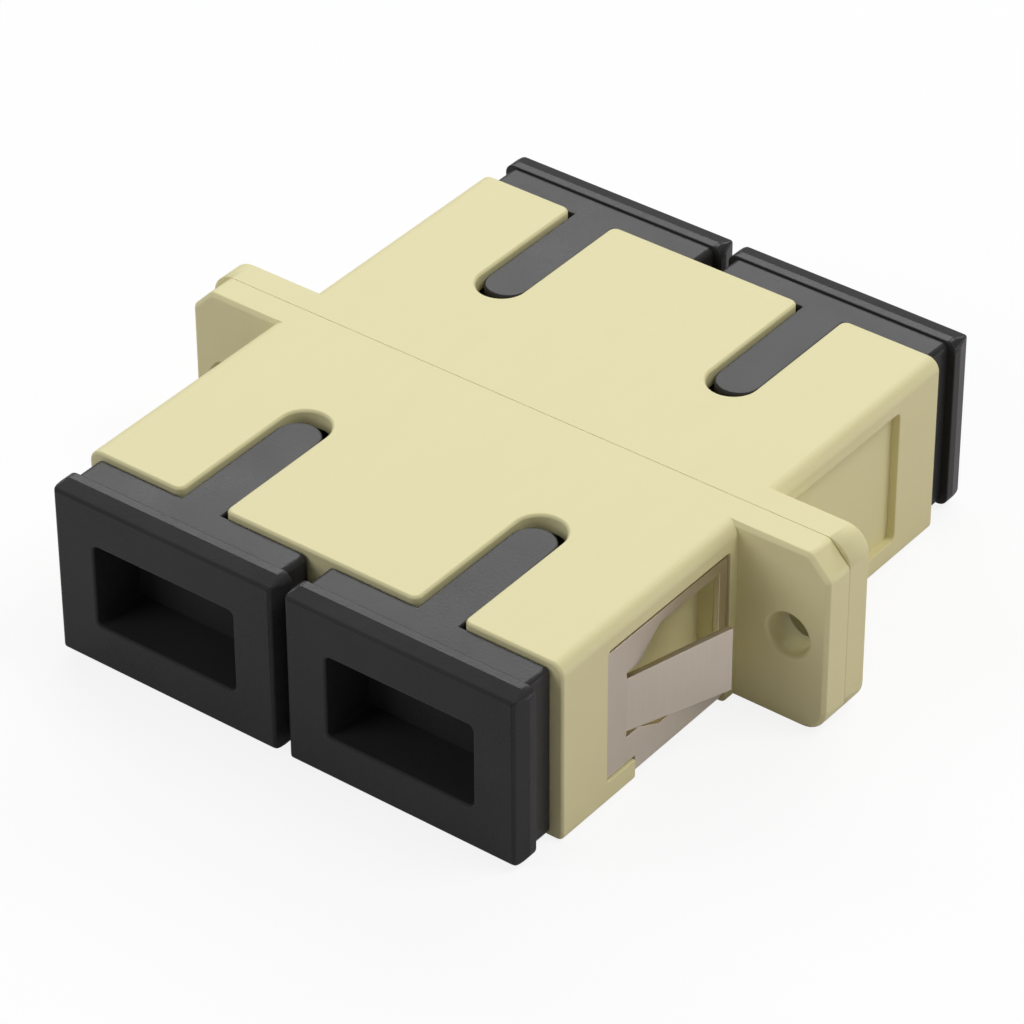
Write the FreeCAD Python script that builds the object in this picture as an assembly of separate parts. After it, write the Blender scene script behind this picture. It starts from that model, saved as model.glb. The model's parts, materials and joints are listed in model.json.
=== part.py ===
import FreeCAD, Part
import os
from FreeCAD import Vector

# A two-channel SC fibre adapter with its dust caps, in millimetres.
# X runs across the two channels, Y along the plugs with the front at -Y, and Z is up.
# The origin lies where the two housing halves meet, level with the plug axes and midway between them.

# Plug openings
PORT_PITCH = 12.7
PORT_WIDTH = 9.0
PORT_HEIGHT = 7.4
PORT_LEAD_IN = 0.25

# Housing halves, one each side of the joint
HALF_LENGTH = 13.8
SIDE_WALL = 1.85
ROOF_WALL = 0.9
TOP_EDGE_ROUND = 0.65
LOW_EDGE_ROUND = 0.35
RIM_BEVEL = 0.1
SEAM_BEVEL = 0.03

# Key slots in the roof
SLOT_WIDTH = 2.4
SLOT_LENGTH = 8.0
SLOT_LIP_ROUND = 0.4

# Ears with their screw holes
EAR_THICK = 1.55
EAR_HOLE_OFFSET = 2.65
EAR_HOLE_MARGIN = 2.0
EAR_HOLE_RADIUS = 1.05
EAR_HOLE_BEVEL = 0.12
EAR_CORNER_ACROSS = 1.05
EAR_CORNER_DOWN = 1.1
EAR_BEVEL_ROUND = 0.45
EAR_CORNER_ROUND = 1.2
EAR_EDGE_BEVEL = 0.18

# Shallow recess in each side wall
RECESS_FROM_END = 3.1
RECESS_FROM_EAR = 0.5
RECESS_BAND = 1.15
RECESS_CORNER = 0.25
RELIEF_DEPTH = 0.8

# Retaining clip, a strap under the front half with a sprung tongue on each side
CLIP_THICK = 0.3
CLIP_INSET = 0.1
CLIP_GAP = 0.1
CLIP_BEND = 0.3
STRAP_SETBACK = 2.1
STRAP_END_MARGIN = 0.2
TONGUE_ROOT = 1.35
TONGUE_ROOT_HEIGHT = 2.8
TONGUE_END_HEIGHT = 3.3
TONGUE_DROP = 0.25
TONGUE_PROUD = 1.6
PANEL_GAP = 2.5
WINDOW_SLIT = 0.3
WINDOW_SLIT_RUN = 0.9
WINDOW_RAIL = 0.7
WINDOW_POST = 0.55
WINDOW_SLOPE = 1.4

# Split sleeves that line up the ferrules
FERRULE_RADIUS = 1.25
SLEEVE_WALL = 0.35
SLEEVE_LENGTH = 11.4
SLEEVE_SLIT = 0.5

# Sleeve holders, each with a barrel and two latch hooks
HOLDER_PLATE = 1.5
HOLDER_STEP = 0.45
HOLDER_CLEARANCE = 0.05
BARREL_WALL = 0.45
BARREL_CLEARANCE = 0.05
BARREL_LIP = 0.85
LIP_CLEARANCE = 0.2
BARREL_LEAD_IN = 0.3
HOOK_THICK = 0.7
HOOK_HEIGHT = 3.2
HOOK_REACH = 8.0
HOOK_NOSE = 1.2
HOOK_CATCH = 0.45
HOOK_CLEARANCE = 0.3

# Dust caps
CAP_SEAT_GAP = 0.05
CAP_CLEARANCE = 0.1
CAP_WALL = 0.7
CAP_INSERTION = 7.4
CAP_TUBE_CORNER = 0.6
CAP_TIP_BEVEL = 0.3
CAP_NECK = 1.45
CAP_NECK_WIDTH = 11.5
CAP_NECK_DROP = 0.27
CAP_NECK_CORNER = 0.3
CAP_PLATE = 1.3
CAP_PLATE_GAP = 0.4
CAP_PLATE_DROP = 0.17
CAP_PLATE_CORNER = 0.5
CAP_RIM_LENGTH = 0.85
CAP_RIM_DROP = 0.2
CAP_POCKET_WIDTH = 7.7
CAP_POCKET_HEIGHT = 4.2
CAP_POCKET_DEPTH = 2.8
CAP_POCKET_CORNER = 0.25
CAP_WEB = 1.0
KEY_CLEARANCE = 0.1
KEY_END_GAP = 0.6
KEY_DROP = 0.35

# Places that follow from the sizes above
PORT_X = PORT_PITCH / 2
BODY_X = PORT_X + PORT_WIDTH / 2 + SIDE_WALL
BODY_Z = PORT_HEIGHT / 2 + ROOF_WALL
FRONT_Y = -HALF_LENGTH
EAR_Y = -EAR_THICK
EAR_HOLE_X = BODY_X + EAR_HOLE_OFFSET
EAR_X = EAR_HOLE_X + EAR_HOLE_MARGIN
RECESS_DEPTH = CLIP_THICK + CLIP_INSET
RECESS_X = BODY_X - RECESS_DEPTH
RECESS_Z = BODY_Z - RECESS_BAND
RECESS_FRONT = FRONT_Y + RECESS_FROM_END
RECESS_REAR = EAR_Y - RECESS_FROM_EAR
SLEEVE_RADIUS = FERRULE_RADIUS + SLEEVE_WALL
BARREL_BORE = SLEEVE_RADIUS + BARREL_CLEARANCE
BARREL_RADIUS = BARREL_BORE + BARREL_WALL
BARREL_SHOULDER = SLEEVE_LENGTH / 2 + BARREL_CLEARANCE
BARREL_END = BARREL_SHOULDER + BARREL_LIP
CAP_TUBE_WIDTH = PORT_WIDTH - 2 * CAP_CLEARANCE
CAP_TUBE_HEIGHT = PORT_HEIGHT - 2 * CAP_CLEARANCE
HOOK_OUTER = CAP_TUBE_WIDTH / 2 - CAP_WALL - HOOK_CLEARANCE

MIDDLE = Vector(0, 0, 0)
ALONG = Vector(0, 1, 0)
UP = Vector(0, 0, 1)
# How far a cutting tool runs past the face that it opens
OVERCUT = 1.0
NEAR = 1e-4


def block(x_from, x_to, y_from, y_to, z_from, z_to):
    corner = Vector(x_from, y_from, z_from)
    return Part.makeBox(x_to - x_from, y_to - y_from, z_to - z_from, corner)


def edges_where(shape, wanted):
    return [edge for edge in shape.Edges if wanted(edge.BoundBox)]


def runs_along_y(box):
    return box.XLength < NEAR and box.ZLength < NEAR


def bar(width, height, y_from, y_to):
    """A straight bar along Y, centred on the axis."""
    return block(-width / 2, width / 2, y_from, y_to, -height / 2, height / 2)


def rounded_bar(width, height, corner, y_from, y_to):
    """A bar along Y whose section has rounded corners."""
    plain = bar(width, height, y_from, y_to)
    return plain.makeFillet(corner, edges_where(plain, runs_along_y))


def frustum(width, height, grow, y_small, y_large):
    """A four-sided funnel along Y that grows by the same amount on every side."""
    sections = []
    for extra, y in ((0, y_small), (grow, y_large)):
        across = width / 2 + extra
        rise = height / 2 + extra
        corners = [Vector(-across, y, -rise), Vector(across, y, -rise),
                   Vector(across, y, rise), Vector(-across, y, rise)]
        sections.append(Part.makePolygon(corners + corners[:1]))
    return Part.makeLoft(sections, True, True)


def prism(points, height):
    """An outline in X and Y, extruded to the same height above and below the axis."""
    corners = [Vector(x, y, -height / 2) for x, y in points]
    outline = Part.makePolygon(corners + corners[:1])
    return Part.Face(outline).extrude(UP * height)


def turned(points):
    """An outline of radius and Y, turned about the plug axis."""
    corners = [Vector(radius, y, 0) for radius, y in points]
    outline = Part.makePolygon(corners + corners[:1])
    return Part.Face(outline).revolve(MIDDLE, ALONG, 360)


def both_channels(shape):
    copies = []
    for x in (-PORT_X, PORT_X):
        copy = shape.copy()
        copy.translate(Vector(x, 0, 0))
        copies.append(copy)
    return copies


def both_sides(shape):
    return [shape, shape.mirror(MIDDLE, Vector(1, 0, 0))]


def key_slot():
    """The slot in the roof, open at the front between rounded lips and round at its inner end."""
    half = SLOT_WIDTH / 2
    round_y = FRONT_Y + SLOT_LENGTH - half
    lip_y = FRONT_Y + SLOT_LIP_ROUND
    lip_x = half + SLOT_LIP_ROUND
    top = BODY_Z + OVERCUT
    mouth = block(-lip_x, lip_x, FRONT_Y, lip_y, 0, top)
    lips = [Part.makeCylinder(SLOT_LIP_ROUND, top, Vector(x, lip_y, 0)) for x in (-lip_x, lip_x)]
    mouth = mouth.cut(lips)
    straight = block(-half, half, FRONT_Y - OVERCUT, round_y, 0, top)
    return straight.fuse([mouth, Part.makeCylinder(half, top, Vector(0, round_y, 0))]).removeSplitter()


def flange(bevelled):
    """The plate that carries both ears, with its top corners bevelled or rounded."""

    def along_y_at(x, z):
        def wanted(box):
            off_x = abs(abs(box.XMin) - x)
            off_z = abs(abs(box.ZMin) - z)
            return runs_along_y(box) and off_x < NEAR and off_z < NEAR

        return wanted

    if bevelled:
        shoulder = BODY_Z - EAR_CORNER_DOWN
        top = EAR_X - EAR_CORNER_ACROSS
        corners = [Vector(x, EAR_Y, z) for x, z in (
            (-EAR_X, -BODY_Z), (EAR_X, -BODY_Z), (EAR_X, shoulder),
            (top, BODY_Z), (-top, BODY_Z), (-EAR_X, shoulder))]
        plate = Part.Face(Part.makePolygon(corners + corners[:1])).extrude(ALONG * EAR_THICK)
        for x, z in ((EAR_X, shoulder), (top, BODY_Z)):
            plate = plate.makeFillet(EAR_BEVEL_ROUND, edges_where(plate, along_y_at(x, z)))
    else:
        plate = block(-EAR_X, EAR_X, EAR_Y, 0, -BODY_Z, BODY_Z)
    plate = plate.makeFillet(EAR_CORNER_ROUND, edges_where(plate, along_y_at(EAR_X, BODY_Z)))
    plate = plate.makeChamfer(EAR_EDGE_BEVEL, edges_where(plate, lambda box: box.YMax < EAR_Y + NEAR))
    return plate.makeChamfer(SEAM_BEVEL, edges_where(plate, lambda box: box.YMin > -NEAR))


def front_block():
    """The long part of a housing half, with both ports and key slots and its outer edges broken."""
    joint_y = EAR_Y / 2
    solid = block(-BODY_X, BODY_X, FRONT_Y, joint_y, -BODY_Z, BODY_Z)
    for radius, z in ((TOP_EDGE_ROUND, BODY_Z), (LOW_EDGE_ROUND, -BODY_Z)):
        solid = solid.makeFillet(radius, edges_where(
            solid, lambda box: runs_along_y(box) and abs(box.ZMin - z) < NEAR))
    port = bar(PORT_WIDTH, PORT_HEIGHT, FRONT_Y - OVERCUT, OVERCUT)
    solid = solid.cut(both_channels(port) + both_channels(key_slot()))

    def top_rim(box):
        round_starts = abs(box.XMin) > BODY_X - TOP_EDGE_ROUND - NEAR
        at_joint = box.YMin > joint_y - NEAR
        return box.ZMin > BODY_Z - NEAR and not at_joint and not (runs_along_y(box) and round_starts)

    def front_rim(box):
        outside = max(abs(box.XMin), abs(box.XMax)) > BODY_X - NEAR
        return box.YMax < FRONT_Y + NEAR and (outside or box.ZMin > BODY_Z - NEAR)

    return solid.makeChamfer(RIM_BEVEL, edges_where(solid, lambda box: top_rim(box) or front_rim(box)))


def ear_hole():
    """A screw hole with a small bevel at the ear's front face."""
    straight = Part.makeCylinder(EAR_HOLE_RADIUS, EAR_THICK + 2 * OVERCUT,
                                 Vector(0, EAR_Y - OVERCUT, 0), ALONG)
    mouth = Part.makeCone(EAR_HOLE_RADIUS + EAR_HOLE_BEVEL, EAR_HOLE_RADIUS, EAR_HOLE_BEVEL,
                          Vector(0, EAR_Y, 0), ALONG)
    hole = straight.fuse(mouth)
    hole.translate(Vector(EAR_HOLE_X, 0, 0))
    return hole


def side_recess():
    """The shallow pocket in a side wall, where the clip lies."""
    pocket = block(RECESS_X, BODY_X + OVERCUT, RECESS_FRONT, RECESS_REAR, -RECESS_Z, RECESS_Z)
    uprights = edges_where(pocket, lambda box: box.YLength < NEAR and box.ZLength < NEAR)
    return pocket.makeFillet(RECESS_CORNER, uprights)


def clip_window():
    """The outline in Y and Z of the window in a clip side, which the tongue is bent out of."""
    root = RECESS_FRONT + CLIP_GAP + TONGUE_ROOT
    slope = root + WINDOW_SLIT_RUN
    full = slope + WINDOW_SLOPE
    post = RECESS_REAR - CLIP_GAP - WINDOW_POST
    narrow = TONGUE_ROOT_HEIGHT / 2 + WINDOW_SLIT
    wide = RECESS_Z - CLIP_GAP - WINDOW_RAIL
    lower = -narrow - TONGUE_DROP
    upper = narrow - TONGUE_DROP
    return [(root, lower), (slope, lower), (full, -wide), (post, -wide),
            (post, wide), (full, wide), (slope, upper), (root, upper)]


def cut_through_side(outline, x_from, x_to):
    """An outline in Y and Z, extruded across a side wall."""
    corners = [Vector(x_from, y, z) for y, z in outline]
    return Part.Face(Part.makePolygon(corners + corners[:1])).extrude(Vector(x_to - x_from, 0, 0))


def strap_range():
    return RECESS_FRONT + STRAP_SETBACK, RECESS_REAR - STRAP_END_MARGIN


def strap_core(y_from, y_to):
    """What is left of the housing inside the strap, with its lower corners rounded for the bends."""
    bottom = -BODY_Z + RECESS_DEPTH
    core = block(-RECESS_X, RECESS_X, y_from, y_to, bottom, RECESS_Z)

    def lower_corner(box):
        return runs_along_y(box) and box.ZMax < bottom + NEAR

    return core.makeFillet(CLIP_BEND, edges_where(core, lower_corner))


def strap_groove():
    """The groove round the sides and bottom that the clip's strap lies in."""
    y_from, y_to = strap_range()
    y_from -= CLIP_GAP
    y_to += CLIP_GAP
    around = block(-BODY_X - OVERCUT, BODY_X + OVERCUT, y_from, y_to, -BODY_Z - OVERCUT, 0)
    return around.cut(strap_core(y_from - OVERCUT, y_to + OVERCUT))


def housing_half(bevelled):
    port = bar(PORT_WIDTH, PORT_HEIGHT, EAR_Y - OVERCUT, OVERCUT)
    ears = flange(bevelled).cut(both_channels(port))
    half = front_block().fuse(ears).removeSplitter()
    seat = bar(PORT_WIDTH + 2 * HOLDER_STEP, PORT_HEIGHT + 2 * HOLDER_STEP, -HOLDER_PLATE, OVERCUT)
    lead_in = frustum(PORT_WIDTH, PORT_HEIGHT, PORT_LEAD_IN, FRONT_Y + PORT_LEAD_IN, FRONT_Y)
    tools = both_channels(seat) + both_channels(lead_in)
    tools += both_sides(side_recess()) + both_sides(ear_hole())
    return half.cut(tools)


def front_housing():
    relief = cut_through_side(clip_window(), RECESS_X - RELIEF_DEPTH, RECESS_X + OVERCUT)
    return housing_half(bevelled=True).cut([strap_groove()] + both_sides(relief))


def rear_housing():
    return housing_half(bevelled=False).mirror(MIDDLE, ALONG)


def clip_side():
    """One side plate of the clip, with its window and the tongue that widens to its free end."""
    inner = RECESS_X
    outer = RECESS_X + CLIP_THICK
    front = RECESS_FRONT + CLIP_GAP
    half_height = RECESS_Z - CLIP_GAP
    plate = block(inner, outer, front, RECESS_REAR - CLIP_GAP, -half_height, half_height)
    plate = plate.cut(cut_through_side(clip_window(), inner - OVERCUT, outer + OVERCUT))

    root = front + TONGUE_ROOT
    free_end = EAR_Y - PANEL_GAP
    rise = BODY_X + TONGUE_PROUD - outer
    tongue = prism([(inner, root), (outer, root), (outer + rise, free_end), (inner + rise, free_end)],
                   2 * RECESS_Z)
    root_half = TONGUE_ROOT_HEIGHT / 2
    end_half = TONGUE_END_HEIGHT / 2
    outline = [(root, -root_half - TONGUE_DROP), (free_end, -end_half - TONGUE_DROP),
               (free_end, end_half - TONGUE_DROP), (root, root_half - TONGUE_DROP)]
    return plate.fuse(tongue.common(cut_through_side(outline, inner - OVERCUT, outer + rise + OVERCUT)))


def retaining_clip():
    y_from, y_to = strap_range()
    outer = block(-RECESS_X - CLIP_THICK, RECESS_X + CLIP_THICK, y_from, y_to,
                  -BODY_Z + CLIP_INSET, -RECESS_Z + CLIP_GAP)
    lower = edges_where(outer, lambda box: runs_along_y(box) and box.ZMax < -RECESS_Z)
    strap = outer.makeFillet(CLIP_BEND + CLIP_THICK, lower)
    strap = strap.cut(strap_core(y_from - OVERCUT, y_to + OVERCUT))
    return strap.fuse(both_sides(clip_side())).removeSplitter()


def split_sleeve():
    half = SLEEVE_LENGTH / 2
    past = half + OVERCUT
    tube = turned([(FERRULE_RADIUS, -half), (SLEEVE_RADIUS, -half),
                   (SLEEVE_RADIUS, half), (FERRULE_RADIUS, half)])
    slit = block(-SLEEVE_SLIT / 2, SLEEVE_SLIT / 2, -past, past, 0, SLEEVE_RADIUS + OVERCUT)
    return tube.cut(slit)


def latch_hook():
    """A springy arm on the +X side of the barrel, with a catch that points at the axis."""
    inner = HOOK_OUTER - HOOK_THICK
    catch = inner - HOOK_CATCH
    nose = HOOK_NOSE - HOOK_REACH
    ramp = nose - HOOK_NOSE / 2
    return prism([(inner, -HOLDER_PLATE / 2), (HOOK_OUTER, -HOLDER_PLATE / 2), (HOOK_OUTER, -HOOK_REACH),
                  (inner, -HOOK_REACH), (catch, ramp), (catch, nose), (inner, nose)], HOOK_HEIGHT)


def sleeve_holder():
    plate_width = PORT_WIDTH + 2 * (HOLDER_STEP - HOLDER_CLEARANCE)
    plate_height = PORT_HEIGHT + 2 * (HOLDER_STEP - HOLDER_CLEARANCE)
    plate = bar(plate_width, plate_height, -HOLDER_PLATE, 0)
    barrel = Part.makeCylinder(BARREL_RADIUS, BARREL_END, MIDDLE, -ALONG)
    lip = FERRULE_RADIUS + LIP_CLEARANCE
    bore = turned([(0, OVERCUT), (BARREL_BORE, OVERCUT), (BARREL_BORE, -BARREL_SHOULDER),
                   (lip, -BARREL_SHOULDER), (lip, BARREL_LEAD_IN - BARREL_END),
                   (lip + BARREL_LEAD_IN, -BARREL_END),
                   (lip + BARREL_LEAD_IN, -BARREL_END - OVERCUT), (0, -BARREL_END - OVERCUT)])
    return plate.fuse([barrel] + both_sides(latch_hook())).cut(bore).removeSplitter()


def cap_tube():
    """The hollow plug of a cap, with a bevelled tip."""
    root = FRONT_Y - CAP_SEAT_GAP - CAP_NECK
    tip = FRONT_Y + CAP_INSERTION
    tube = rounded_bar(CAP_TUBE_WIDTH, CAP_TUBE_HEIGHT, CAP_TUBE_CORNER, root, tip)
    tube = tube.makeChamfer(CAP_TIP_BEVEL, edges_where(tube, lambda box: box.YMin > tip - NEAR))
    front = root - CAP_PLATE
    web_back = front + CAP_POCKET_DEPTH + CAP_WEB
    hollow = bar(CAP_TUBE_WIDTH - 2 * CAP_WALL, CAP_TUBE_HEIGHT - 2 * CAP_WALL, web_back, tip + OVERCUT)
    return tube, hollow


def cap_key():
    """The rib on a cap that fills the key slot."""
    half = SLOT_WIDTH / 2 - KEY_CLEARANCE
    top = BODY_Z - KEY_DROP
    bottom = PORT_HEIGHT / 2 - CAP_WALL
    start_y = FRONT_Y - CAP_SEAT_GAP - CAP_NECK
    round_y = FRONT_Y + SLOT_LENGTH - KEY_END_GAP - half
    straight = block(-half, half, start_y, round_y, bottom, top)
    return straight.fuse(Part.makeCylinder(half, top - bottom, Vector(0, round_y, bottom)))


def dust_cap():
    tube, hollow = cap_tube()
    neck_back = FRONT_Y - CAP_SEAT_GAP
    plate_back = neck_back - CAP_NECK
    front = plate_back - CAP_PLATE
    neck_height = 2 * (BODY_Z - CAP_NECK_DROP)
    neck = rounded_bar(CAP_NECK_WIDTH, neck_height, CAP_NECK_CORNER, plate_back - CAP_PLATE / 2, neck_back)
    plate_width = PORT_PITCH - CAP_PLATE_GAP
    plate_height = 2 * (BODY_Z - CAP_PLATE_DROP)
    plate = rounded_bar(plate_width, plate_height, CAP_PLATE_CORNER, front, plate_back)
    sloping_rim = frustum(plate_width - 2 * CAP_RIM_DROP, plate_height - 2 * CAP_RIM_DROP,
                          CAP_RIM_DROP * CAP_PLATE / CAP_RIM_LENGTH, front, plate_back)
    plate = plate.common(sloping_rim)
    floor = front + CAP_POCKET_DEPTH
    pocket = rounded_bar(CAP_POCKET_WIDTH, CAP_POCKET_HEIGHT, CAP_POCKET_CORNER, front - OVERCUT, floor)
    cap = plate.fuse([neck, tube, cap_key()]).removeSplitter()
    return cap.cut([pocket, hollow])


def placed(shape, x, at_rear):
    copy = shape.mirror(MIDDLE, ALONG) if at_rear else shape.copy()
    copy.translate(Vector(x, 0, 0))
    return copy


def all_pieces():
    pieces = {
        "front_housing": front_housing(),
        "rear_housing": rear_housing(),
        "retaining_clip": retaining_clip(),
    }
    cap = dust_cap()
    holder = sleeve_holder()
    sleeve = split_sleeve()
    for side, x in (("left", -PORT_X), ("right", PORT_X)):
        pieces[side + "_sleeve"] = placed(sleeve, x, False)
        for end, at_rear in (("front", False), ("rear", True)):
            pieces[f"{end}_{side}_holder"] = placed(holder, x, at_rear)
            pieces[f"{end}_{side}_cap"] = placed(cap, x, at_rear)
    return pieces


os.makedirs("parts", exist_ok=True)
for name, shape in all_pieces().items():
    shape.exportStep(f"parts/{name}.step")
    print(name, len(shape.Solids), shape.isValid(), round(shape.Volume, 2))
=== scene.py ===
# %% [markdown]
# # A two-channel fibre adapter
# The adapter joins two pairs of fibre plugs end to end. Two cream mouldings meet at a flange with screw
# ears, a stamped spring clip lies round the front one, and four black dust caps fill the ports.
# The imported model gives every piece its place, so this lesson only gives the pieces their surfaces:
# softened edges and procedural finishes, in plain studio light.

# %% Load the imported model
import json
import math

import bmesh
import bpy
from mathutils import Matrix, Vector


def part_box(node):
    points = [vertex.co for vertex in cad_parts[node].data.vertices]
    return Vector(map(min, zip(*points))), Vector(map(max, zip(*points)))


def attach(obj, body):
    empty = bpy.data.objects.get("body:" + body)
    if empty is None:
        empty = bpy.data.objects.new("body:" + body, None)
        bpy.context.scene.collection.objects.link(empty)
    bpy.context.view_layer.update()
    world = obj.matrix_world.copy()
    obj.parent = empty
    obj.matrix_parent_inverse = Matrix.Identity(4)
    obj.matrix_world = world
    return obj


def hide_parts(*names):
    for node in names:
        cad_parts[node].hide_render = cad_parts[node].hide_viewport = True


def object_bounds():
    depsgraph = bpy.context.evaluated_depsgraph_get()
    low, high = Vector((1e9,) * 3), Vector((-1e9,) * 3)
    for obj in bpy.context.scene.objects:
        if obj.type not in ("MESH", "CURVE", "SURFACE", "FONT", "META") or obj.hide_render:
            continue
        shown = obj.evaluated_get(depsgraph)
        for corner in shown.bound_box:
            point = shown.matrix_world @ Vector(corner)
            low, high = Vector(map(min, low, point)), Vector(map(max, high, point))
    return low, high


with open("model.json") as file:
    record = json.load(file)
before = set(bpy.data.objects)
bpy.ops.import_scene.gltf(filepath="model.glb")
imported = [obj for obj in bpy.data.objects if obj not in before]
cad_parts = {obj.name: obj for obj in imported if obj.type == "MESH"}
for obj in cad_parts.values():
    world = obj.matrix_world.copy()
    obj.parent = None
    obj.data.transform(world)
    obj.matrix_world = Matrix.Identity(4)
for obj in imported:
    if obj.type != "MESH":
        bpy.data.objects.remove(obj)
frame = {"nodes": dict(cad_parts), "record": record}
cad_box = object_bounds()

MM = 0.001
print("nodes", sorted(frame["nodes"]))

# %% [markdown]
# ## Camera
# The photo looks down on the adapter from its front right through a long lens. The camera could be placed
# by eye, but its angles were worked out from the corners of the housing, and its lens, roll and framing
# from the outline. A small offset from the origin gives the framing without any lens shift.

# %% Camera
CAMERA_TURN = math.radians(37.52)
CAMERA_HEIGHT = math.radians(36.17)
CAMERA_ROLL = math.radians(-0.26)
CAMERA_DISTANCE = 220.76 * MM
CAMERA_ASIDE = -0.36 * MM
CAMERA_ABOVE = -1.02 * MM
CAMERA_LENS = 176.9
CAMERA_SENSOR = 36.0
CAMERA_REACH = 20.0


def camera_axes():
    back = Vector((math.sin(CAMERA_TURN) * math.cos(CAMERA_HEIGHT),
                   -math.cos(CAMERA_TURN) * math.cos(CAMERA_HEIGHT),
                   math.sin(CAMERA_HEIGHT)))
    level = Vector((math.cos(CAMERA_TURN), math.sin(CAMERA_TURN), 0.0))
    right = Matrix.Rotation(CAMERA_ROLL, 3, back) @ level
    return right, back.cross(right), back


def photo_camera():
    data = bpy.data.cameras.new("photo_camera")
    data.lens = CAMERA_LENS
    data.sensor_width = CAMERA_SENSOR
    data.clip_start = MM
    data.clip_end = CAMERA_REACH
    camera = bpy.data.objects.new("photo_camera", data)
    right, up, back = camera_axes()
    place = back * CAMERA_DISTANCE + right * CAMERA_ASIDE + up * CAMERA_ABOVE
    turn = Matrix((right, up, back)).transposed().to_4x4()
    camera.matrix_world = Matrix.Translation(place) @ turn
    bpy.context.scene.collection.objects.link(camera)
    bpy.context.scene.camera = camera
    return camera


camera = photo_camera()
print("camera at", [round(x / MM, 1) for x in camera.matrix_world.translation], "mm")

# %% [markdown]
# ## Shader sums
# A finish mixes several patterns, and drawing every Math node by hand hides the idea. So a small class
# wraps a node's output and lets patterns be added and multiplied as Python values. Every other node comes
# from one method, which takes the node's type, its settings and what goes into its sockets.

# %% Shader helpers
# The Mix node's colour sockets share their names with its number sockets, so they go by their place.
MIX_SHARE = 0
MIX_FIRST = 6
MIX_SECOND = 7
MIX_RESULT = 2


class Pattern:
    """One output of a node, which can be used in sums."""

    def __init__(self, finish, socket):
        self.finish = finish
        self.socket = socket

    def result(self, operation, first, second):
        return self.finish.node("ShaderNodeMath", {"operation": operation}, {0: first, 1: second})

    def __add__(self, other):
        return self.result("ADD", self, other)

    def __sub__(self, other):
        return self.result("SUBTRACT", self, other)

    def __rsub__(self, other):
        return self.result("SUBTRACT", other, self)

    def __mul__(self, other):
        return self.result("MULTIPLY", self, other)

    __radd__ = __add__
    __rmul__ = __mul__


class Finish:
    """A material whose nodes are made one by one, ending in a Principled shader."""

    def __init__(self, name):
        self.material = bpy.data.materials.new(name)
        self.material.use_nodes = True
        self.tree = self.material.node_tree
        self.tree.nodes.clear()
        self.output = self.tree.nodes.new("ShaderNodeOutputMaterial")

    def node(self, kind, settings, sockets, output=0):
        made = self.tree.nodes.new(kind)
        for name, value in settings.items():
            setattr(made, name, value)
        for name, value in sockets.items():
            if isinstance(value, Pattern):
                self.tree.links.new(value.socket, made.inputs[name])
            elif isinstance(value, tuple) and len(value) == 3 and made.inputs[name].type == "RGBA":
                made.inputs[name].default_value = (*value, 1.0)
            else:
                made.inputs[name].default_value = value
        return Pattern(self, made.outputs[output])

    def place(self):
        return self.node("ShaderNodeTexCoord", {}, {}, "Object")

    def noise(self, size, detail=2.0, stretch=(1.0, 1.0, 1.0)):
        """Soft random patches of about that size, longer along an axis whose stretch is larger."""
        spread = tuple(1.0 / (size * s) for s in stretch)
        place = self.node("ShaderNodeMapping", {}, {"Vector": self.place(), "Scale": spread})
        sockets = {"Vector": place, "Scale": 1.0, "Detail": detail}
        return self.node("ShaderNodeTexNoise", {}, sockets, "Fac")

    def mixed(self, share, first, second):
        sockets = {MIX_SHARE: share, MIX_FIRST: first, MIX_SECOND: second}
        return self.node("ShaderNodeMix", {"data_type": "RGBA"}, sockets, MIX_RESULT)

    def bump(self, height, depth):
        return self.node("ShaderNodeBump", {}, {"Strength": 1.0, "Distance": depth, "Height": height})

    def principled(self, sockets):
        shader = self.node("ShaderNodeBsdfPrincipled", {}, sockets)
        self.tree.links.new(shader.socket, self.output.inputs["Surface"])
        return self.material


# %% [markdown]
# ## Cream moulded plastic
# Both housing halves are moulded in a stiff cream plastic. The steel mould was spark-eroded, so the skin
# is satin with a very fine grain, and the melt leaves faint cloudy patches. A flat colour would look like
# paint, so a broad noise varies the colour and gloss a little and a fine noise gives the grain.

# %% Housing finish
CREAM = (0.79, 0.735, 0.41)
CREAM_SHADE = (0.745, 0.685, 0.375)
CREAM_CLOUDS = 5 * MM
CREAM_FLOW = 1.2 * MM
CREAM_FLOW_STRETCH = (1.0, 5.0, 1.0)
CREAM_GRAIN = 0.14 * MM
CREAM_GRAIN_DEPTH = 0.004 * MM


def cream_plastic():
    finish = Finish("cream_plastic")
    clouds = finish.noise(CREAM_CLOUDS, 3.0)
    flow = finish.noise(CREAM_FLOW, 2.0, CREAM_FLOW_STRETCH)
    grain = finish.noise(CREAM_GRAIN, 2.0)
    share = 0.65 * clouds + 0.35 * flow
    return finish.principled({
        "Base Color": finish.mixed(share, CREAM_SHADE, CREAM),
        "Roughness": 0.40 + 0.10 * clouds + 0.08 * grain,
        "Normal": finish.bump(grain, CREAM_GRAIN_DEPTH),
        "IOR": 1.5,
        "Specular IOR Level": 0.4,
    })


housing_finish = cream_plastic()
print("made", housing_finish.name)

# %% [markdown]
# ## Black cap plastic
# The dust caps are moulded in a softer black plastic. It is a little cloudy, with a silky gloss on the
# faces that lay against polished steel. An even gloss would look like glass, so broad patches change it
# and a fine grain breaks it up.

# %% Cap finish
BLACK = (0.027, 0.027, 0.028)
BLACK_HAZE = (0.040, 0.039, 0.038)
BLACK_PATCHES = 3 * MM
BLACK_GRAIN = 0.16 * MM
BLACK_GRAIN_DEPTH = 0.006 * MM


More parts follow.
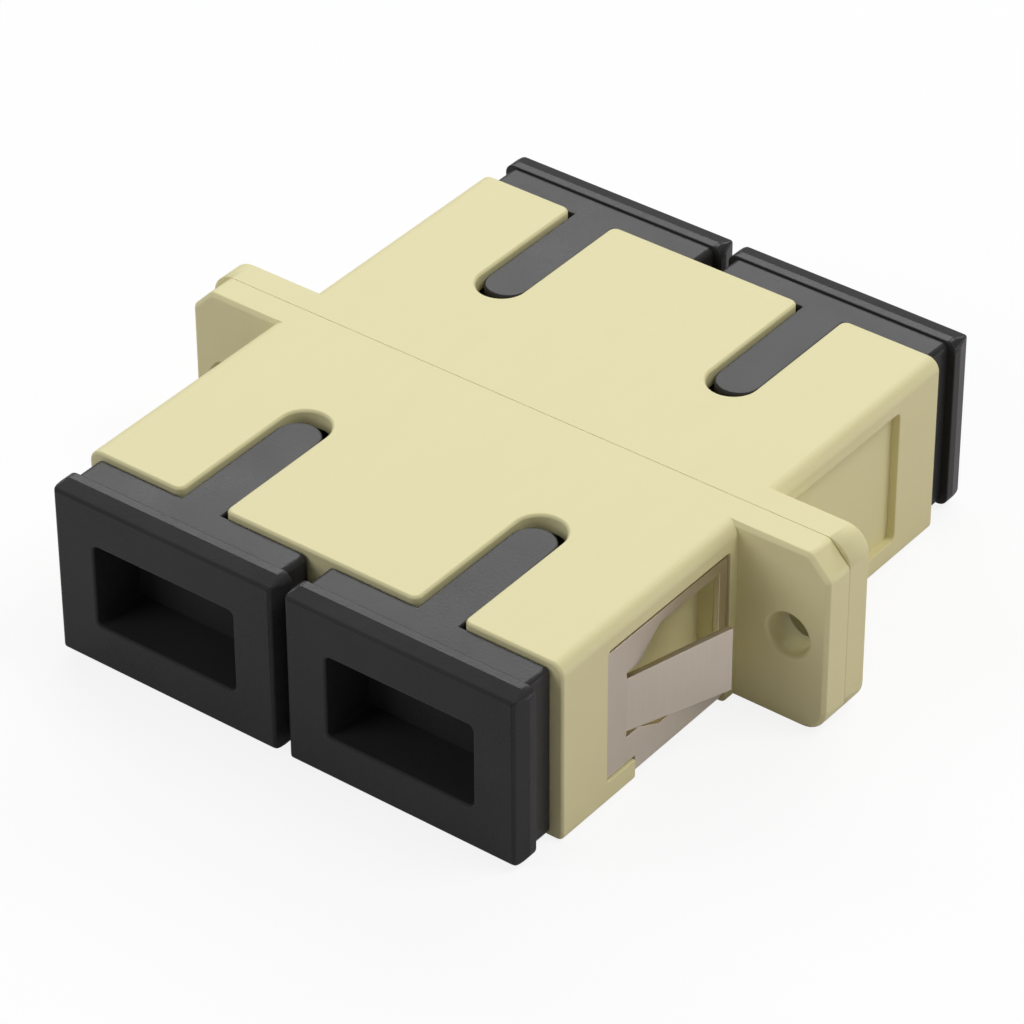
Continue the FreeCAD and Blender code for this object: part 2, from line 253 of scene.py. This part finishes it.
def black_plastic():
    finish = Finish("black_plastic")
    haze = finish.noise(BLACK_PATCHES, 4.0)
    grain = finish.noise(BLACK_GRAIN, 2.0)
    return finish.principled({
        "Base Color": finish.mixed(haze, BLACK, BLACK_HAZE),
        "Roughness": 0.20 + 0.12 * haze + 0.08 * grain,
        "Normal": finish.bump(grain, BLACK_GRAIN_DEPTH),
        "IOR": 1.5,
        "Specular IOR Level": 0.16,
    })


cap_finish = black_plastic()
print("made", cap_finish.name)

# %% [markdown]
# ## Rolled spring steel
# The clip is stamped from thin rolled stainless strip. Rolling leaves fine straight lines along the strip,
# which runs under the housing and up its sides, so the noise is stretched along X and Z and stays fine
# along Y. Plain metal would look like chrome; the lines change its gloss more than its colour.

# %% Clip finish
STEEL = (0.78, 0.71, 0.60)
STEEL_DULL = (0.64, 0.575, 0.475)
STEEL_LINES = 0.05 * MM
STEEL_LINES_STRETCH = (60.0, 1.0, 60.0)
STEEL_LINES_DEPTH = 0.0015 * MM
STEEL_STAINS = 2.5 * MM


def rolled_steel():
    finish = Finish("rolled_steel")
    lines = finish.noise(STEEL_LINES, 3.0, STEEL_LINES_STRETCH)
    stains = finish.noise(STEEL_STAINS, 3.0)
    return finish.principled({
        "Base Color": finish.mixed(0.6 * lines + 0.4 * stains, STEEL_DULL, STEEL),
        "Metallic": 1.0,
        "Roughness": 0.26 + 0.14 * lines + 0.10 * stains,
        "Normal": finish.bump(lines, STEEL_LINES_DEPTH),
    })


clip_finish = rolled_steel()
print("made", clip_finish.name)

# %% [markdown]
# ## Holder plastic and bronze
# The sleeve holders are moulded in an uncoloured engineering plastic, paler and glossier than the housing.
# The sleeves are rolled from bronze strip and burnished, with fine lines along their length. Both show
# only when a cap is out, but each still gets its own finish, made in the same way as those outside.

# %% Inner finishes
IVORY = (0.64, 0.60, 0.49)
IVORY_SHADE = (0.56, 0.52, 0.41)
BRONZE = (0.74, 0.49, 0.27)
BRONZE_DULL = (0.58, 0.37, 0.20)
IVORY_CLOUDS = 2.5 * MM
IVORY_GRAIN = 0.10 * MM
IVORY_GRAIN_DEPTH = 0.002 * MM
BRONZE_LINES = 0.04 * MM
BRONZE_LINES_STRETCH = (1.0, 70.0, 1.0)
BRONZE_LINES_DEPTH = 0.001 * MM
BRONZE_TARNISH = 1.5 * MM


def ivory_plastic():
    finish = Finish("ivory_plastic")
    clouds = finish.noise(IVORY_CLOUDS, 3.0)
    grain = finish.noise(IVORY_GRAIN, 2.0)
    return finish.principled({
        "Base Color": finish.mixed(clouds, IVORY_SHADE, IVORY),
        "Roughness": 0.32 + 0.12 * clouds + 0.06 * grain,
        "Normal": finish.bump(grain, IVORY_GRAIN_DEPTH),
    })


def burnished_bronze():
    finish = Finish("burnished_bronze")
    lines = finish.noise(BRONZE_LINES, 3.0, BRONZE_LINES_STRETCH)
    tarnish = finish.noise(BRONZE_TARNISH, 3.0)
    return finish.principled({
        "Base Color": finish.mixed(0.5 * lines + 0.5 * tarnish, BRONZE_DULL, BRONZE),
        "Metallic": 1.0,
        "Roughness": 0.20 + 0.12 * lines + 0.10 * tarnish,
        "Normal": finish.bump(lines, BRONZE_LINES_DEPTH),
    })


holder_finish = ivory_plastic()
sleeve_finish = burnished_bronze()
print("made", holder_finish.name, "and", sleeve_finish.name)

# %% [markdown]
# ## Softened edges
# No moulded or stamped edge is perfectly sharp, and it is the small round that catches the light. A copy
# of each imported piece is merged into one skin, its flat faces are joined, and its outward corners get a
# small bevel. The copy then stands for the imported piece, and area-weighted normals keep its flats flat.

# %% Softening helper
MERGE = 0.0005 * MM
FLAT_ANGLE = math.radians(0.5)
CORNER_ANGLE = math.radians(28.0)
NEAR = 0.05 * MM
BODIES = frame["record"]["behaviour"]["bodies"]
NODE_BODY = {node: body for body, nodes in BODIES.items() for node in nodes}


def shown(name, mesh, finish, body):
    """Turns a finished bmesh into an object that rides on a body."""
    data = bpy.data.meshes.new(name)
    mesh.to_mesh(data)
    mesh.free()
    data.shade_smooth()
    data.materials.append(finish)
    piece = bpy.data.objects.new(name, data)
    bpy.context.scene.collection.objects.link(piece)
    level = piece.modifiers.new("level_normals", "WEIGHTED_NORMAL")
    level.keep_sharp = True
    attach(piece, body)
    return piece


def joined_flats(mesh):
    bmesh.ops.remove_doubles(mesh, verts=mesh.verts, dist=MERGE)
    bmesh.ops.dissolve_limit(mesh, angle_limit=FLAT_ANGLE, verts=mesh.verts, edges=mesh.edges)


def merged_copy(node):
    plain = bpy.data.meshes.new("plain")
    source = frame["nodes"][node].data
    plain.from_pydata([v.co for v in source.vertices], [], [list(p.vertices) for p in source.polygons])
    mesh = bmesh.new()
    mesh.from_mesh(plain)
    bpy.data.meshes.remove(plain)
    joined_flats(mesh)
    return mesh


def outward_corners(mesh):
    return [edge for edge in mesh.edges
            if edge.is_manifold and edge.is_convex and edge.calc_face_angle() > CORNER_ANGLE]


def rounded_off(mesh, edges, edge_round, segments):
    bmesh.ops.bevel(mesh, geom=edges, offset=edge_round, offset_type="OFFSET", affect="EDGES",
                    segments=segments, profile=0.5, material=-1, clamp_overlap=False)
    bmesh.ops.remove_doubles(mesh, verts=mesh.verts, dist=MERGE)


def crisp_inner_corners(mesh):
    """Keeps the shading of two faces apart where they meet in an inner corner."""
    for edge in mesh.edges:
        if edge.is_manifold and not edge.is_convex:
            edge.smooth = edge.calc_face_angle() < CORNER_ANGLE


def all_at(edge, place):
    """Whether both ends of an edge lie that far from the joint between the housing halves."""
    return all(abs(abs(vert.co.y) - place) < NEAR for vert in edge.verts)


def dressed(node, kind, mesh, finish):
    crisp_inner_corners(mesh)
    piece = shown(f"{node}_{kind}", mesh, finish, NODE_BODY[node])
    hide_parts(node)
    print(piece.name, len(piece.data.polygons), "faces")


# %% [markdown]
# ## Housing halves
# The halves meet edge to edge at the flange, where only a hair line shows. They could be drawn anew, but
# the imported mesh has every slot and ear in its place. So its outward corners are rounded, apart from those
# at the joint, which keep their own fine bevel. The round is smaller than the narrowest facet at the slots.

# %% Housing halves
HOUSING_ROUND = 0.045 * MM
HOUSING_STEPS = 3


def housing_moulding(node):
    mesh = merged_copy(node)
    corners = [edge for edge in outward_corners(mesh) if not all_at(edge, 0.0)]
    rounded_off(mesh, corners, HOUSING_ROUND, HOUSING_STEPS)
    dressed(node, "moulding", mesh, housing_finish)


for half in ("front_housing", "rear_housing"):
    housing_moulding(half)

# %% [markdown]
# ## Retaining clip
# A press cuts the clip from thin strip and bends it round the housing. The tumbled edges are hardly round,
# so they get a much smaller bevel than the mouldings, but still one that shines. The rails end a little
# below the edge of their seat in the housing, which leaves a shadow line there.

# %% Retaining clip
CLIP_ROUND = 0.03 * MM
CLIP_STEPS = 2
CLIP_SHADOW = 0.12 * MM


def stamped_clip():
    mesh = merged_copy("retaining_clip")
    top_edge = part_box("retaining_clip")[1][2]
    rails = [vert for vert in mesh.verts if vert.co.z > top_edge - NEAR]
    bmesh.ops.translate(mesh, verts=rails, vec=(0.0, 0.0, -CLIP_SHADOW))
    rounded_off(mesh, outward_corners(mesh), CLIP_ROUND, CLIP_STEPS)
    dressed("retaining_clip", "stamping", mesh, clip_finish)


stamped_clip()

# %% [markdown]
# ## Dust caps
# A cap is a soft moulding: a plug in the port, a key in the slot, a collar against the housing and a grip
# plate with a sloping rim. The key's top runs on from the collar's, so it is lifted by the last small step
# first. The rims are rounded one by one, the widest first, and each is stepped finely enough that the next
# bevel takes it for a curve and leaves it alone.

# %% Dust caps
RIM_ROUND = 0.14 * MM
STEP_ROUND = 0.06 * MM
CAP_ROUND = 0.10 * MM
CAP_STEPS = 3
FINE_STEPS = 4
GRIP_PLATE = 1.3 * MM
SLOPING_RIM = 0.85 * MM


def flush_key(mesh):
    """Lifts the key until its top and the collar's are one face."""
    port_end = max(abs(corner[1]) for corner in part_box("front_housing"))
    key_level = max(vert.co.z for vert in mesh.verts if abs(vert.co.y) < port_end)
    collar_level = max(vert.co.z for vert in mesh.verts if abs(vert.co.y) < port_end + 2 * NEAR)
    sides = [vert.co.x for vert in mesh.verts if abs(vert.co.z - key_level) < MERGE]
    for side in (min(sides), max(sides)):
        whole = mesh.verts[:] + mesh.edges[:] + mesh.faces[:]
        bmesh.ops.bisect_plane(mesh, geom=whole, dist=MERGE,
                               plane_co=(side, 0.0, 0.0), plane_no=(1.0, 0.0, 0.0))
    key = [vert for vert in mesh.verts if abs(vert.co.z - key_level) < MERGE]
    bmesh.ops.translate(mesh, verts=key, vec=(0.0, 0.0, collar_level - key_level))
    joined_flats(mesh)
    print("key lifted by", round((collar_level - key_level) / MM, 3), "mm")


def cap_moulding(node):
    mesh = merged_copy(node)
    flush_key(mesh)
    outer_face = max(abs(corner[1]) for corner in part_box(node))
    rim = [edge for edge in outward_corners(mesh) if all_at(edge, outer_face)]
    rounded_off(mesh, rim, RIM_ROUND, FINE_STEPS)
    step = [edge for edge in outward_corners(mesh) if all_at(edge, outer_face - GRIP_PLATE)]
    rounded_off(mesh, step, STEP_ROUND, FINE_STEPS)
    rounded_off(mesh, outward_corners(mesh), CAP_ROUND, CAP_STEPS)
    for edge in mesh.edges:
        edge.smooth = not all_at(edge, outer_face - SLOPING_RIM)
    dressed(node, "moulding", mesh, cap_finish)


for end in ("front", "rear"):
    for side in ("left", "right"):
        cap_moulding(f"{end}_{side}_cap")

# %% [markdown]
# ## Sleeve holders and sleeves
# The holders are softened as the housing is. A sleeve is rolled from strip, so instead of softening the
# imported one, its section is drawn once, with round ends, and spun about the plug axis up to the slit.

# %% Sleeve holders and sleeves
HOLDER_ROUND = 0.05 * MM
HOLDER_STEPS = 2
SLEEVE_STEPS = 72
SLEEVE_WALL = 0.35 * MM
SLEEVE_SLIT = 0.5 * MM
SLEEVE_END_ROUND = 0.08 * MM
SLEEVE_END_STEPS = 3


def holder_moulding(node):
    mesh = merged_copy(node)
    rounded_off(mesh, outward_corners(mesh), HOLDER_ROUND, HOLDER_STEPS)
    dressed(node, "moulding", mesh, holder_finish)


def rolled_sleeve(node):
    low, high = (Vector(corner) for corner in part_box(node))
    centre = (low + high) / 2
    outer = (high.x - low.x) / 2
    inner = outer - SLEEVE_WALL
    gap_angle = math.asin(SLEEVE_SLIT / 2 / outer)
    start = Matrix.Rotation(gap_angle, 3, "Y") @ Vector((0.0, 0.0, 1.0))
    mesh = bmesh.new()
    section = [mesh.verts.new(centre + start * radius + Vector((0.0, y - centre.y, 0.0)))
               for radius, y in ((inner, low.y), (outer, low.y), (outer, high.y), (inner, high.y))]
    mesh.faces.new(section)
    bmesh.ops.bevel(mesh, geom=section, offset=SLEEVE_END_ROUND, offset_type="OFFSET", affect="VERTICES",
                    segments=SLEEVE_END_STEPS, profile=0.5, material=-1, clamp_overlap=True)
    geometry = mesh.faces[:] + mesh.edges[:] + mesh.verts[:]
    bmesh.ops.spin(mesh, geom=geometry, cent=centre, axis=(0.0, 1.0, 0.0), angle=2 * (math.pi - gap_angle),
                   steps=SLEEVE_STEPS, use_merge=False, use_duplicate=False)
    bmesh.ops.recalc_face_normals(mesh, faces=mesh.faces)
    dressed(node, "tube", mesh, sleeve_finish)


for side in ("left", "right"):
    for end in ("front", "rear"):
        holder_moulding(f"{end}_{side}_holder")
    rolled_sleeve(f"{side}_sleeve")

# %% [markdown]
# ## Floor
# The photo was taken on plain white. A plain sheet would turn grey in this light, and more light would
# wash out the adapter. So part of what the camera sees of the floor is plain white, and the rest shows the
# soft shadow. The floor lies a hair under the adapter, so that the two never share a face.

# %% Floor
FLOOR_RADIUS = 4.0
FLOOR_SIDES = 96
FLOOR_GAP = 0.02 * MM
FLOOR_WHITE = (0.97, 0.97, 0.97)
FLOOR_BOUNCE = (0.60, 0.565, 0.58)
FLOOR_PLAIN_SEEN = 0.86
FLOOR_PLAIN_MIRRORED = 0.20


def ray_kinds(finish, *names):
    """One for rays of any of these kinds, and zero for the rest."""
    kinds = [finish.node("ShaderNodeLightPath", {}, {}, name) for name in names]
    return finish.node("ShaderNodeClamp", {}, {"Value": sum(kinds)})


def white_floor():
    finish = Finish("white_floor")
    seen = ray_kinds(finish, "Is Camera Ray")
    mirrored = ray_kinds(finish, "Is Glossy Ray", "Is Transmission Ray")
    colour = finish.mixed(seen, FLOOR_BOUNCE, FLOOR_WHITE)
    paper = finish.node("ShaderNodeBsdfDiffuse", {}, {"Color": colour})
    plain = finish.node("ShaderNodeEmission", {}, {"Color": (1.0, 1.0, 1.0), "Strength": 1.0})
    share = FLOOR_PLAIN_SEEN * seen + FLOOR_PLAIN_MIRRORED * mirrored
    mix = finish.node("ShaderNodeMixShader", {}, {0: share, 1: paper, 2: plain})
    finish.tree.links.new(mix.socket, finish.output.inputs["Surface"])
    return finish.material


mesh = bmesh.new()
floor_level = cad_box[0][2] - FLOOR_GAP
bmesh.ops.create_circle(mesh, cap_ends=True, segments=FLOOR_SIDES, radius=FLOOR_RADIUS)
bmesh.ops.translate(mesh, verts=mesh.verts, vec=(0.0, 0.0, floor_level))
floor_data = bpy.data.meshes.new("floor")
mesh.to_mesh(floor_data)
mesh.free()
floor_data.materials.append(white_floor())
floor = bpy.data.objects.new("floor", floor_data)
bpy.context.scene.collection.objects.link(floor)
print("floor at", round(floor_level / MM, 2), "mm")

# %% [markdown]
# ## Backdrop and lamps
# The photo's light is soft: a bright top, a duller side and dark cap fronts. One strong lamp would cast
# hard shadows, so the world gives an even glow and four large lamps shape it. The rear and right ones show
# in reflections. The other two are kept out of them, which leaves the black caps dark.

# %% World and lamps
WORLD_GLOW = 0.20
WORLD_MIRRORED = 0.20
LAMP_DISTANCE = 0.70


class Backdrop(Finish):
    """The world's own nodes, made in the same way as a material's."""

    def __init__(self, name):
        self.world = bpy.data.worlds.new(name)
        self.world.use_nodes = True
        self.tree = self.world.node_tree
        self.tree.nodes.clear()
        self.output = self.tree.nodes.new("ShaderNodeOutputWorld")


def studio_world():
    backdrop = Backdrop("studio")
    seen = ray_kinds(backdrop, "Is Camera Ray")
    mirrored = ray_kinds(backdrop, "Is Glossy Ray", "Is Transmission Ray")
    other = 1.0 - seen - mirrored
    strength = seen + WORLD_MIRRORED * mirrored + WORLD_GLOW * other
    glow = backdrop.node("ShaderNodeBackground", {}, {"Color": (1.0, 1.0, 1.0), "Strength": strength})
    backdrop.tree.links.new(glow.socket, backdrop.output.inputs["Surface"])
    bpy.context.scene.world = backdrop.world


def softbox(name, direction, width, height, brightness, colour=(1.0, 1.0, 1.0), mirrored=True):
    """A rectangular lamp that faces the adapter, whose sheet is as bright as asked."""
    data = bpy.data.lights.new(name, "AREA")
    data.shape = "RECTANGLE"
    data.size = width
    data.size_y = height
    data.energy = brightness * width * height * math.pi
    data.color = colour
    lamp = bpy.data.objects.new(name, data)
    lamp.location = Vector(direction).normalized() * LAMP_DISTANCE
    lamp.rotation_euler = lamp.location.to_track_quat("Z", "Y").to_euler()
    lamp.visible_glossy = mirrored
    bpy.context.scene.collection.objects.link(lamp)


studio_world()
softbox("rear_lamp", (-0.42, 0.70, 0.60), 0.90, 0.16, 6.4)
softbox("overhead_lamp", (0.46, 0.24, 0.86), 0.34, 0.34, 5.7, mirrored=False)
softbox("front_lamp", (-0.50, -0.72, 0.48), 0.40, 0.40, 3.2, (0.90, 0.91, 1.0), mirrored=False)
softbox("right_lamp", (0.80, 0.55, 0.045), 0.60, 0.06, 5.4, (1.0, 0.95, 0.98))

# %% [markdown]
# ## Finish
# Colours are shown as they are, with the plain view transform.

# %% Finish
bpy.context.scene.view_settings.view_transform = "Standard"
